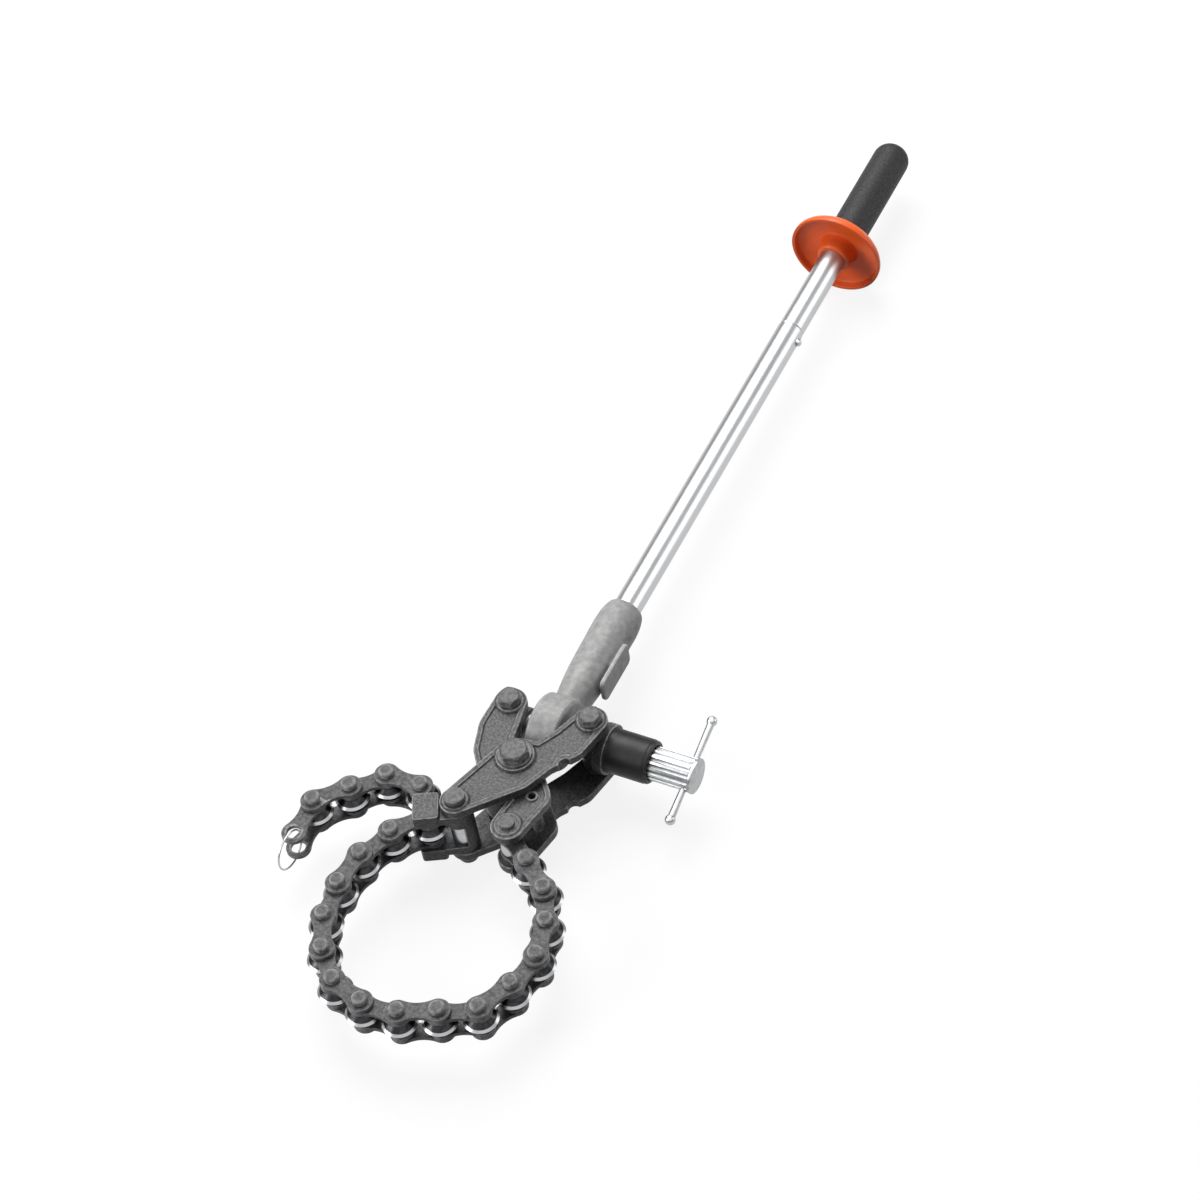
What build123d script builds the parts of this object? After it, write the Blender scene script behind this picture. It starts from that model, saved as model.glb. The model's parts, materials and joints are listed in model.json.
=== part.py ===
# Chain cutter for cast-iron soil pipe: two crossed jaws on one pivot, a feed screw between their
# upper ends, a ratchet handle on the screw, and a chain of cutting wheels round the pipe between
# their lower ends. Millimetres. +X runs along the feed screw to its knob, +Y along the handle to
# the grip, +Z up along the pins. The origin is the middle of the pivot nut's foot on the table.
import math
import os

from build123d import *

os.makedirs("parts", exist_ok=True)

# Running and fixed clearances
pin_play = 0.08
fixed_play = 0.02
side_play = 0.3

# Chain
pitch = 31.75
pin_r = 6.2
plate_t = 3.7
plate_r = 10.4
plate_waist = 7.0
wheel_r = 14.6
wheel_hub_r = 8.6
wheel_hub_half = 8.0
pin_stub = 5.5
inner_z = wheel_hub_half + side_play
outer_z = inner_z + plate_t + side_play
chain_half = outer_z + plate_t
anchor = (21.4, -58.8)
loop_headings = [-38.0, -38.0, -60.5, -77.0, -102.0, -115.5, -154.0, -156.5, -176.5, -198.0, -226.0, -243.5,
                 -263.0, -275.5, -294.0, -313.5]
tail_headings = [-232.0, -181.0, -137.0, -132.5, -92.0]

# Jaws, as distances from the middle of the chain
jaw_t = 8.0
boss_h = 1.2
jaw_a_z = chain_half + 0.5
jaw_b_z = jaw_a_z + jaw_t + 0.5
jaw_out = jaw_b_z + jaw_t
screw_y = 54.0
tip_a = (-33.0, screw_y)
tip_b = (42.0, screw_y)
hook_pin_at = (-25.5, -57.0)
tip_r = 14.0
pivot_boss_r = 18.0
rim = 4.5
panel_depth = 1.6

# Pivot stack: plate boss, washer and hexagon, which is also the foot
pivot_r = 8.0
washer_r = 14.0
washer_t = 1.8
head_h = 7.0
pivot_af = 22.0
mid = jaw_out + boss_h + washer_t + head_h

# Tip bolts
bolt_r = 6.0
bolt_af = 17.0
bolt_head_h = 7.0
bolt_grip = 5.6

# Screw line, along X
screw_r = 9.5
screw_from = -45.0
head_r = 31.0
head_x = (-9.5, 18.0)
head_collar_r = 19.0
handle_x = 4.3
block_r = 12.5
barrel_r = 13.5
barrel_half = 13.5
flange_r = 21.5
flange_t = 8.5
housing_r = 18.8
housing_wall = 3.6
housing_len = 38.0
knob_r = 14.5
knob_sunk = 8.0
knob_end = 134.0
bar_x = 127.0
bar_r = 2.5
bar_half = 45.0
bar_ball_r = 4.5
bar_deg = 15.6
bar_slid = 3.5
bar_play = 0.05
screw_play = 0.35
flutes = 10
flute_r = 2.2
cap_t = 3.0
neck_sections = [(62.0, 13.0, 22.0), (92.0, 15.0, 17.5), (125.0, 18.0, 18.0), (160.0, 19.0, 19.0),
                 (184.0, 17.5, 17.5), (190.0, 15.5, 15.5)]
pad_in = 18.0
pad_t = 4.0
pad_y = 128.0
pad_len = 48.0
pad_wide = 24.0

# Handle, along Y
tube_r = 12.0
tube_wall = 1.8
socket_end = 190.0
socket_depth = 50.0
tube_end = 533.0
upper_r = 11.6
spigot_len = 62.0
guard_y = 644.0
guard_t = 3.0
guard_lip = 10.0
guard_hub_r = 15.5
guard_hub_h = 16.0
grip_end = 778.0
grip_r = 17.0
grip_bore_depth = 112.0
button_y = 522.5
button_r = 3.4
button_proud = 3.2

# Pull ring at the end of the tail
ring_wire_r = 0.8
ring_mean_r = 17.0


def level(z, x=0.0, y=0.0, deg=0.0):
    turn = (math.cos(math.radians(deg)), math.sin(math.radians(deg)), 0)
    return Plane(origin=(x, y, mid + z), x_dir=turn, z_dir=(0, 0, 1))


def along_x(x, y=None, z=0.0):
    return Plane(origin=(x, screw_y if y is None else y, mid + z), x_dir=(0, 1, 0), z_dir=(1, 0, 0))


def along_y(y, x=None, z=0.0):
    return Plane(
        origin=(handle_x if x is None else x, y, mid + z), x_dir=(-1, 0, 0), z_dir=(0, 1, 0)
    )


def polar(at, length, deg):
    return (at[0] + length * math.cos(math.radians(deg)), at[1] + length * math.sin(math.radians(deg)))


def keep(part, name):
    part.label = name
    export_step(part, f"parts/{name}.step")


# Pins of the chain from its anchor: round the loop to the hooked pin, then along the tail
pins = [anchor]
for heading in loop_headings + tail_headings:
    pins.append(polar(pins[-1], pitch, heading))
hooked, last_hole = pins[len(loop_headings)], pins[-1]


def strap(a, ra, b, rb):
    """Two round bosses and the flat between their tangents, in the open sketch."""
    gap = math.dist(a, b)
    lean = math.degrees(math.acos((ra - rb) / gap))
    deg = math.degrees(math.atan2(b[1] - a[1], b[0] - a[0]))
    with Locations(a):
        Circle(ra)
    with Locations(b):
        Circle(rb)
    Polygon(
        polar(a, ra, deg - lean), polar(b, rb, deg - lean), polar(b, rb, deg + lean), polar(a, ra, deg + lean),
        align=None,
    )


# Outline of each jaw as round lands: place, radius
shoulder_b, mid_b, heel_b = (34.0, 27.0), (20.0, 6.0), (8.0, -16.0)
shoulder_a, mid_a, heel_a = (-31.0, 28.0), (-26.0, 6.0), (-7.0, -16.0)
lobe_a = (27.0, -26.0)
shoulder_r, mid_r, heel_r, lobe_r = 16.5, 15.0, 17.0, 15.0
notch_r = 5.5
tube_hole_r = 5.0


def jaw_b_outline(inset):
    lands = {
        "tip": (tip_b, tip_r), "shoulder": (shoulder_b, shoulder_r), "mid": (mid_b, mid_r),
        "pivot": ((0.0, 0.0), pivot_boss_r), "heel": (heel_b, heel_r), "hook": (hook_pin_at, tip_r - 1),
    }
    pairs = ["tip shoulder", "shoulder mid", "mid pivot", "mid heel", "pivot heel", "heel hook", "pivot hook"]
    for pair in pairs:
        (a, ra), (b, rb) = (lands[name] for name in pair.split())
        strap(a, ra - inset, b, rb - inset)
    Polygon((0, 0), heel_b, hook_pin_at, align=None)
    Polygon((0, 0), mid_b, heel_b, align=None)
    with Locations(polar(mid_b, mid_r + notch_r + 1.5, 2.0)):
        Circle(notch_r + inset, mode=Mode.SUBTRACT)


def jaw_a_outline(inset):
    lands = {
        "tip": (tip_a, tip_r), "shoulder": (shoulder_a, shoulder_r), "mid": (mid_a, mid_r),
        "pivot": ((0.0, 0.0), pivot_boss_r), "heel": (heel_a, heel_r), "lobe": (lobe_a, lobe_r),
        "anchor": (anchor, tip_r),
    }
    pairs = ["tip shoulder", "shoulder mid", "mid pivot", "mid heel", "pivot heel", "heel lobe", "pivot lobe",
             "lobe anchor"]
    for pair in pairs:
        (a, ra), (b, rb) = (lands[name] for name in pair.split())
        strap(a, ra - inset, b, rb - inset)
    Polygon((0, 0), heel_a, lobe_a, align=None)
    Polygon((0, 0), mid_a, heel_a, align=None)
    with Locations(polar(mid_a, mid_r + notch_r + 1.5, 178.0)):
        Circle(notch_r + inset, mode=Mode.SUBTRACT)


def jaw_plate(outline, z_in, lands, holes, pads):
    """One forged cheek: outline, raised round lands, a panel sunk inside a rim, and its holes."""
    with BuildPart() as cheek:
        with BuildSketch(level(z_in)):
            outline(0.0)
        extrude(amount=jaw_t)
        with BuildSketch(level(z_in + jaw_t)):
            outline(rim)
            for at, r in lands:
                with Locations(at):
                    Circle(r + 0.8, mode=Mode.SUBTRACT)
        extrude(amount=-panel_depth, mode=Mode.SUBTRACT)
        with BuildSketch(level(z_in + jaw_t)):
            for at, r in lands:
                with Locations(at):
                    Circle(r)
        extrude(amount=boss_h)
        for at, r, depth in pads:
            with BuildSketch(level(z_in, *at)):
                Circle(r)
            extrude(amount=-depth)
        for at, r in holes:
            with BuildSketch(level(z_in - jaw_t, *at)):
                Circle(r)
            extrude(amount=3 * jaw_t, mode=Mode.SUBTRACT)
    return cheek.part


def below(part):
    """The same piece on the lower side of the middle plane."""
    return mirror(part, about=level(0))


# Jaw B: the outer pair of cheeks, with the pivot, the hook pin and the screw's thrust bearing
lands_b = [(tip_b, tip_r - 2.5), ((0.0, 0.0), pivot_boss_r - 2.0), (hook_pin_at, tip_r - 3.5)]
holes_b = [(tip_b, bolt_r + fixed_play), ((0.0, 0.0), pivot_r + fixed_play), (hook_pin_at, pin_r + fixed_play)]
jaw_b_upper = jaw_plate(jaw_b_outline, jaw_b_z, lands_b, holes_b, [])
keep(jaw_b_upper, "jaw_b_upper")
keep(below(jaw_b_upper), "jaw_b_lower")

# Jaw A: the inner pair, running between the cheeks of jaw B, with the chain's anchor pin and the
# screw's nut. Pads inside it close up on the first link.
lands_a = [(tip_a, tip_r - 2.5), (anchor, tip_r - 3.0)]
holes_a = [
    (tip_a, bolt_r + fixed_play), ((0.0, 0.0), pivot_r + pin_play), (anchor, pin_r + fixed_play),
    (lobe_a, tube_hole_r),
]
pad_h = jaw_a_z - outer_z
jaw_a_upper = jaw_plate(jaw_a_outline, jaw_a_z, lands_a, holes_a, [(anchor, plate_r - 0.6, pad_h)])
keep(jaw_a_upper, "jaw_a_upper")
keep(below(jaw_a_upper), "jaw_a_lower")

# Hollow spacer tube that ties the two cheeks of jaw A beside the chain's anchor
with BuildPart() as stop_tube:
    with BuildSketch(level(-jaw_a_z - jaw_t, *lobe_a)):
        Circle(tube_hole_r - fixed_play)
        Circle(tube_hole_r - 1.8, mode=Mode.SUBTRACT)
    extrude(amount=2 * (jaw_a_z + jaw_t))
keep(stop_tube.part, "stop_tube")

# Pivot bolt with its washers, nut and the barrel that holds the cheeks apart
with BuildPart() as pivot_bolt:
    with BuildSketch(level(-mid)):
        Circle(pivot_r)
    extrude(amount=2 * mid - head_h)
    with BuildSketch(level(mid - head_h)):
        RegularPolygon(pivot_af / 2, 6, major_radius=False, rotation=12)
    extrude(amount=head_h)
    chamfer(pivot_bolt.faces().sort_by(Axis.Z)[-1].edges(), 1.2)
keep(pivot_bolt.part, "pivot_bolt")

with BuildPart() as pivot_nut:
    with BuildSketch(level(-mid)):
        RegularPolygon(pivot_af / 2, 6, major_radius=False)
        Circle(pivot_r + fixed_play, mode=Mode.SUBTRACT)
    extrude(amount=head_h)
keep(pivot_nut.part, "pivot_nut")

with BuildPart() as pivot_washers:
    for start in (mid - head_h - washer_t, -mid + head_h):
        with BuildSketch(level(start)):
            Circle(washer_r)
            Circle(pivot_r + fixed_play, mode=Mode.SUBTRACT)
        extrude(amount=washer_t)
keep(pivot_washers.part, "pivot_washers")

with BuildPart() as pivot_barrel:
    with BuildSketch(level(-jaw_a_z + side_play)):
        Circle(pivot_boss_r - 4.0)
        Circle(pivot_r + fixed_play, mode=Mode.SUBTRACT)
    extrude(amount=2 * (jaw_a_z - side_play))
keep(pivot_barrel.part, "pivot_barrel")


def tip_bolts(at, seat, turn):
    """Two hexagon bolts, from above and below, that the screw's block turns on."""
    with BuildPart() as bolts:
        with BuildSketch(level(seat, *at)):
            RegularPolygon(bolt_af / 2, 6, major_radius=False, rotation=turn)
        extrude(amount=bolt_head_h)
        chamfer(bolts.faces().sort_by(Axis.Z)[-1].edges(), 1.0)
        with BuildSketch(level(seat, *at)):
            Circle(bolt_r)
        extrude(amount=-(jaw_t + boss_h + bolt_grip))
        mirror(about=level(0))
    return bolts.part


keep(tip_bolts(tip_b, jaw_out + boss_h, 20), "bearing_bolts")
keep(tip_bolts(tip_a, jaw_a_z + jaw_t + boss_h, 5), "nut_bolts")

# Pins of the lower ends: the chain's anchor on jaw A, the hook's pin on jaw B
anchor_half = jaw_a_z + jaw_t + boss_h + 3.5
with BuildPart() as anchor_pin:
    with BuildSketch(level(-anchor_half, *anchor)):
        Circle(pin_r)
    extrude(amount=2 * anchor_half)
    chamfer(anchor_pin.faces().sort_by(Axis.Z)[-1].edges(), 1.0)
keep(anchor_pin.part, "anchor_pin")

with BuildPart() as anchor_bush:
    with BuildSketch(level(-wheel_hub_half, *anchor)):
        Circle(plate_r - 1.0)
        Circle(pin_r + fixed_play, mode=Mode.SUBTRACT)
    extrude(amount=2 * wheel_hub_half)
keep(anchor_bush.part, "anchor_bush")

hook_head_r = 8.5
with BuildPart() as hook_pin:
    with BuildSketch(level(-mid, *hook_pin_at)):
        Circle(pin_r)
    extrude(amount=mid + jaw_out + boss_h)
    for start in (-mid, jaw_out + boss_h):
        with BuildSketch(level(start, *hook_pin_at)):
            Circle(hook_head_r)
        extrude(amount=mid - jaw_out - boss_h if start < 0 else 5.5)
    chamfer(hook_pin.faces().sort_by(Axis.Z)[-1].edges(), 1.5)
keep(hook_pin.part, "hook_pin")

# Hook yoke: hubs on the pin, a web behind it, and a claw over each end of the chain's hooked pin.
# Each claw is blind outside and open on the side away from the loop, so the yoke swings in to free it.
hook_reach = math.dist(hook_pin_at, hooked)
hook_deg_at = math.degrees(math.atan2(hooked[1] - hook_pin_at[1], hooked[0] - hook_pin_at[0]))
hub_r = 12.0
bush_r = 9.2
claw_half = 13.0
claw_out = 29.0
claw_play = 0.7
claw_back = hook_reach - tip_r - 0.2
claw_front = 10.5
hub_top = jaw_b_z - 0.4
pocket_top = chain_half + pin_stub + 0.6
claw_in = chain_half + 0.4
bush_half = (-claw_in, wheel_hub_half)
slot_path = CenterArc((0, 0), hook_reach, -60, 60)
with BuildPart() as hook_yoke:
    for low, high in ((wheel_hub_half + 0.1, hub_top), (-hub_top, -claw_in)):
        with BuildSketch(level(low, *hook_pin_at)):
            Circle(hub_r)
        extrude(amount=high - low)
    with BuildSketch(level(-claw_in, *hook_pin_at, hook_deg_at)):
        Circle(hub_r)
        Circle(bush_r + 0.3, mode=Mode.SUBTRACT)
        with Locations((hub_r, 0)):
            Rectangle(2 * hub_r + 8, 4 * hub_r, mode=Mode.SUBTRACT)
    extrude(amount=claw_in + wheel_hub_half + 0.1)
    layers = ((claw_in, pocket_top), (pocket_top, hub_top), (hub_top, claw_out))
    for side in (1, -1):
        for i, (low, high) in enumerate(layers):
            with BuildSketch(level(side * low, *hook_pin_at, hook_deg_at)):
                with Locations((hook_reach + (claw_front - claw_back) / 2, 0)):
                    RectangleRounded(claw_front + claw_back, 2 * claw_half, 3.0)
                if i < 2:
                    Polygon(
                        (0, -hub_r), (hook_reach, -claw_half + 1), (hook_reach, claw_half - 1), (0, hub_r),
                        align=None,
                    )
                if i == 0:
                    SlotArc(slot_path, 2 * (pin_r + claw_play), mode=Mode.SUBTRACT)
            extrude(amount=side * (high - low))
    with BuildSketch(level(-hub_top - 1, *hook_pin_at)):
        Circle(pin_r + pin_play)
    extrude(amount=2 * hub_top + 2, mode=Mode.SUBTRACT)
keep(hook_yoke.part, "hook_yoke")

with BuildPart() as hook_bush:
    with BuildSketch(level(bush_half[0] + 0.1, *hook_pin_at)):
        Circle(bush_r)
        Circle(pin_r + fixed_play, mode=Mode.SUBTRACT)
    extrude(amount=bush_half[1] - bush_half[0] - 0.2)
keep(hook_bush.part, "hook_bush")


def link_outline(holes):
    """Figure-of-eight plate from the sketch's origin along its X, in the open sketch."""
    bow = (pitch**2 / 4 + plate_waist**2 - plate_r**2) / (2 * (plate_r - plate_waist))
    touch = plate_r * (plate_waist + bow) / (plate_r + bow)
    step = plate_r * (pitch / 2) / (plate_r + bow)
    with Locations((pitch / 2, 0)):
        Rectangle(pitch - 2 * step, 2 * touch)
    with Locations((pitch / 2, plate_waist + bow), (pitch / 2, -plate_waist - bow)):
        Circle(bow, mode=Mode.SUBTRACT)
    with Locations((0, 0), (pitch, 0)):
        Circle(plate_r)
    if holes:
        with Locations((0, 0), (pitch, 0)):
            Circle(pin_r + pin_play, mode=Mode.SUBTRACT)


# Chain links: even ones are pairs of inner plates turning on the pins, odd ones are outer plates
# with two pins riveted through them, which carry the cutting wheels
for i in range(len(pins) - 1):
    (x, y), (x2, y2) = pins[i], pins[i + 1]
    deg = math.degrees(math.atan2(y2 - y, x2 - x))
    name = f"chain_link_{i:02d}"
    with BuildPart() as link:
        outer = i % 2 == 1
        for start in ((outer_z, -chain_half) if outer else (inner_z, -inner_z - plate_t)):
            with BuildSketch(level(start, x, y, deg)):
                link_outline(not outer)
            extrude(amount=plate_t)
        if outer:
            with BuildSketch(level(-chain_half - pin_stub, x, y, deg)):
                with Locations((0, 0), (pitch, 0)):
                    Circle(pin_r)
            extrude(amount=2 * (chain_half + pin_stub))
    keep(link.part, name)
    if outer:
        with BuildPart() as wheels:
            for at in (pins[i], pins[i + 1]):
                with BuildSketch(Plane(origin=(*at, mid), x_dir=(1, 0, 0), z_dir=(0, -1, 0))):
                    Polygon(
                        (pin_r + pin_play, -wheel_hub_half), (wheel_hub_r, -wheel_hub_half), (wheel_r, 0),
                        (wheel_hub_r, wheel_hub_half), (pin_r + pin_play, wheel_hub_half), align=None,
                    )
                revolve(axis=Axis((*at, mid), (0, 0, 1)))
        keep(wheels.part, f"cutting_wheels_{i // 2:02d}")

# Wire pull ring through both holes of the last link
tail_deg = tail_headings[-1]
with BuildPart() as pull_ring:
    cx, cy = polar(last_hole, 10.0, tail_deg)
    across = (math.cos(math.radians(tail_deg)), math.sin(math.radians(tail_deg)), 0)
    normal = (-across[1], across[0], 0)
    with BuildSketch(Plane(origin=(cx, cy, mid), x_dir=across, z_dir=(0, 0, 1))):
        with Locations((ring_mean_r, 0)):
            Circle(ring_wire_r)
    revolve(axis=Axis((cx, cy, mid), normal))
keep(pull_ring.part, "pull_ring")

# Blocks that carry the screw between the jaws' upper ends, each turning on its jaw's two tip bolts:
# the nut in jaw A, and in jaw B the bearing with the flange that the thrust housing seats on
bearing_left = tip_b[0] - barrel_half
flange_face = tip_b[0] + barrel_half + 2.0

nut_half = jaw_a_z - side_play
with BuildPart() as nut_block:
    with BuildSketch(level(-nut_half, *tip_a)):
        Circle(block_r)
    extrude(amount=2 * nut_half)
    with BuildSketch(along_x(tip_a[0] - barrel_half)):
        Circle(barrel_r)
    extrude(amount=2 * barrel_half)
    with BuildSketch(along_x(tip_a[0] - 2 * barrel_half)):
        Circle(screw_r + screw_play)
    extrude(amount=4 * barrel_half, mode=Mode.SUBTRACT)
    for side in (1, -1):
        with BuildSketch(level(side * nut_half, *tip_a)):
            Circle(bolt_r + pin_play)
        extrude(amount=-side * bolt_grip, mode=Mode.SUBTRACT)
keep(nut_block.part, "nut_block")

bearing_half = jaw_b_z - side_play
with BuildPart() as bearing_block:
    with BuildSketch(level(-bearing_half, *tip_b)):
        Circle(block_r)
    extrude(amount=2 * bearing_half)
    with BuildSketch(along_x(bearing_left)):
        Circle(barrel_r)
    extrude(amount=flange_face - bearing_left)
    with BuildSketch(along_x(flange_face)):
        Circle(flange_r)
    extrude(amount=-flange_t)
    with BuildSketch(along_x(bearing_left)):
        Circle(screw_r + pin_play)
    extrude(amount=flange_face - bearing_left, mode=Mode.SUBTRACT)
    for side in (1, -1):
        with BuildSketch(level(side * bearing_half, *tip_b)):
            Circle(bolt_r + pin_play)
        extrude(amount=-side * bolt_grip, mode=Mode.SUBTRACT)
keep(bearing_block.part, "bearing_block")

housing_end = flange_face + housing_len
with BuildPart() as thrust_housing:
    with BuildSketch(along_x(flange_face)):
        Circle(housing_r)
        Circle(housing_r - housing_wall, mode=Mode.SUBTRACT)
    extrude(amount=housing_len)
    chamfer(thrust_housing.faces().sort_by(Axis.X)[-1].outer_wire().edges(), 1.5)
keep(thrust_housing.part, "thrust_housing")

# Feed screw with the thrust collar that runs on the flange inside the housing
knob_from = housing_end - knob_sunk
collar_t = 6.0
with BuildPart() as feed_screw:
    with BuildSketch(along_x(screw_from)):
        Circle(screw_r)
    extrude(amount=bar_x - bar_r - 6.0 - screw_from)
    chamfer(feed_screw.faces().sort_by(Axis.X)[0].edges(), 1.5)
    with BuildSketch(along_x(flange_face + side_play)):
        Circle(housing_r - housing_wall - side_play)
    extrude(amount=collar_t)
keep(feed_screw.part, "feed_screw")

# Fluted knob on the screw's end, drilled across for the bar
bar_axis = (0, math.cos(math.radians(bar_deg)), math.sin(math.radians(bar_deg)))
bar_up = (0, -bar_axis[2], bar_axis[1])
with BuildPart() as screw_knob:
    with BuildSketch(along_x(knob_from)):
        Circle(knob_r)
        with PolarLocations(knob_r + 0.4, flutes):
            Circle(flute_r, mode=Mode.SUBTRACT)
    extrude(amount=knob_end - cap_t - knob_from)
    with BuildSketch(along_x(knob_end - cap_t)):
        Circle(knob_r + 0.6)
    extrude(amount=cap_t)
    with BuildSketch(along_x(knob_from)):
        Circle(screw_r + fixed_play)
    extrude(amount=bar_x - bar_r - 5.8 - knob_from, mode=Mode.SUBTRACT)
    with BuildSketch(Plane(origin=(bar_x, screw_y, mid), x_dir=(1, 0, 0), z_dir=bar_axis)):
        Circle(bar_r + bar_play)
    extrude(amount=knob_r + 5, both=True, mode=Mode.SUBTRACT)
keep(screw_knob.part, "screw_knob")

# Sliding bar with a ball on each end
bar_mid = (bar_x, screw_y + bar_slid * bar_axis[1], mid + bar_slid * bar_axis[2])
with BuildPart() as t_bar:
    with BuildSketch(Plane(origin=bar_mid, x_dir=(1, 0, 0), z_dir=bar_axis)):
        Circle(bar_r)
    extrude(amount=bar_half, both=True)
    for end in (bar_half, -bar_half):
        with Locations((bar_mid[0], bar_mid[1] + end * bar_axis[1], bar_mid[2] + end * bar_axis[2])):
            Sphere(bar_ball_r)
keep(t_bar.part, "t_bar")

# Ratchet head: a drum on the screw, a neck between the jaw tips and a socket for the handle
with BuildPart() as ratchet_head:
    with BuildSketch(along_x(head_x[0])):
        Circle(head_r)
    extrude(amount=head_x[1] - head_x[0])
    chamfer(ratchet_head.faces().filter_by(Plane.YZ).edges(), 2.5)
    with BuildSketch(along_x(head_x[1])):
        Circle(head_collar_r)
    extrude(amount=bearing_left - head_x[1] - 1.0)
    for y, half_x, half_z in neck_sections:
        with BuildSketch(along_y(y)):
            Ellipse(half_x, half_z)
    loft()
    with BuildSketch(Plane(origin=(handle_x + pad_in, pad_y, mid), x_dir=(0, 1, 0), z_dir=(1, 0, 0))):
        RectangleRounded(pad_len, pad_wide, 5.0)
    extrude(amount=pad_t)
    with BuildSketch(Plane(origin=(handle_x, pad_y + pad_len * 0.2, mid), x_dir=(0, 1, 0), z_dir=(1, 0, 0))):
        RectangleRounded(pad_len * 0.5, pad_wide - 6.0, 3.0)
    extrude(amount=pad_in + 1.0)
    with BuildSketch(along_y(socket_end)):
        Circle(tube_r + fixed_play)
    extrude(amount=-socket_depth, mode=Mode.SUBTRACT)
    with BuildSketch(along_x(head_x[0])):
        Circle(screw_r + pin_play)
    extrude(amount=60, mode=Mode.SUBTRACT)
keep(ratchet_head.part, "ratchet_head")

# Handle: lower tube fixed in the socket, upper section whose swaged spigot slides in it and is
# held by a spring button, then the guard and the grip
with BuildPart() as lower_tube:
    with BuildSketch(along_y(socket_end - socket_depth)):
        Circle(tube_r)
        Circle(tube_r - tube_wall, mode=Mode.SUBTRACT)
    extrude(amount=tube_end - socket_end + socket_depth)
    with BuildSketch(Plane(origin=(handle_x, button_y, mid), x_dir=(0, 1, 0), z_dir=(1, 0, 0))):
        Circle(button_r + 0.3)
    extrude(amount=tube_r + 2, mode=Mode.SUBTRACT)
keep(lower_tube.part, "lower_tube")

spigot_r = tube_r - tube_wall - pin_play
upper_end = guard_y + grip_bore_depth - 2.0
with BuildPart() as upper_tube:
    with BuildSketch(along_y(tube_end - spigot_len)):
        Circle(spigot_r)
        Circle(spigot_r - tube_wall, mode=Mode.SUBTRACT)
    extrude(amount=spigot_len + 1.0)
    with BuildSketch(along_y(tube_end + 0.4)):
        Circle(upper_r)
        Circle(spigot_r - tube_wall, mode=Mode.SUBTRACT)
    extrude(amount=upper_end - tube_end - 0.4)
    with BuildSketch(Plane(origin=(handle_x, button_y, mid), x_dir=(0, 1, 0), z_dir=(1, 0, 0))):
        Circle(button_r + 0.05)
    extrude(amount=tube_r + 2, mode=Mode.SUBTRACT)
keep(upper_tube.part, "upper_tube")

with BuildPart() as snap_button:
    with BuildSketch(Plane(origin=(handle_x + tube_r + button_proud, button_y, mid), x_dir=(0, 1, 0), z_dir=(1, 0, 0))):
        Circle(button_r)
    extrude(amount=-button_proud - tube_wall - 5.0)
    fillet(snap_button.faces().sort_by(Axis.X)[-1].edges(), button_r * 0.6)
keep(snap_button.part, "snap_button")

guard_r = mid
with BuildPart() as hand_guard:
    with BuildSketch(Plane(origin=(handle_x, guard_y, mid), x_dir=(1, 0, 0), z_dir=(0, 0, 1))):
        Polygon(
            (upper_r + fixed_play, guard_t), (upper_r + fixed_play, -guard_hub_h), (guard_hub_r - 1.5, -guard_hub_h),
            (guard_hub_r, -guard_hub_h + 1.5), (guard_hub_r + 3.0, 0), (guard_r - 8.0, -2.0),
            (guard_r - 3.0, -guard_lip), (guard_r, -guard_lip), (guard_r, -guard_lip + 4.0),
            (guard_r - 6.0, guard_t - 1.0), (guard_r - 10.0, guard_t), align=None,
        )
    revolve(axis=Axis((handle_x, guard_y, mid), (0, 1, 0)))
keep(hand_guard.part, "hand_guard")

with BuildPart() as grip:
    with BuildSketch(along_y(guard_y + guard_t)):
        Circle(grip_r)
    extrude(amount=grip_end - guard_y - guard_t)
    fillet(grip.faces().sort_by(Axis.Y)[-1].edges(), grip_r * 0.85)
    with BuildSketch(along_y(guard_y + guard_t)):
        Circle(upper_r + fixed_play)
    extrude(amount=grip_bore_depth - guard_t, mode=Mode.SUBTRACT)
keep(grip.part, "grip")
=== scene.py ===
import json
import math

import bmesh
import bpy
from mathutils import Matrix, Vector


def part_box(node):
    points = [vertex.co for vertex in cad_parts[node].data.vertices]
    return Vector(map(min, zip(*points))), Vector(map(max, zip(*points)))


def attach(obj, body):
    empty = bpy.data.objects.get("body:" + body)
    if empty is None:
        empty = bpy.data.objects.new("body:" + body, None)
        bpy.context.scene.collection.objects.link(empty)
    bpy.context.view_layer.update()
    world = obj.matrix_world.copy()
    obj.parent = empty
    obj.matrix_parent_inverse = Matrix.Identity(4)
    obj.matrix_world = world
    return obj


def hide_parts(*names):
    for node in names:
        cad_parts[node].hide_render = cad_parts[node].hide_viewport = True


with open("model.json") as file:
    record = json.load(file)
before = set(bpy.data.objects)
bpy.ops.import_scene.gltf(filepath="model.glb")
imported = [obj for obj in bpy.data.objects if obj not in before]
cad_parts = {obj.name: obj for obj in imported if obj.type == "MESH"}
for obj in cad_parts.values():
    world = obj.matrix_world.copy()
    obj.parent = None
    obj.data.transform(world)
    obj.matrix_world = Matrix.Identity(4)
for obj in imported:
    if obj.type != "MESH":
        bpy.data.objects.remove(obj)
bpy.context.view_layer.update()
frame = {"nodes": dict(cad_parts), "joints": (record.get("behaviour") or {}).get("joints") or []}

# Camera: it stands in front of the chain on the knob's side, looks down at the tool lying on the
# floor, and leans a little to its left.
camera_place = Vector((1.0589, -1.4006, 2.3253))
camera_aim = Vector((-0.0214, 0.1934, 0.043))
camera_lean = math.radians(-10.81)
lens_mm = 106.1
sensor_mm = 36.0
sees_to = 20.0


def placed(name, data):
    """A new object in the scene, of a camera, a lamp or a mesh."""
    thing = bpy.data.objects.new(name, data)
    bpy.context.scene.collection.objects.link(thing)
    return thing


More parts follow.
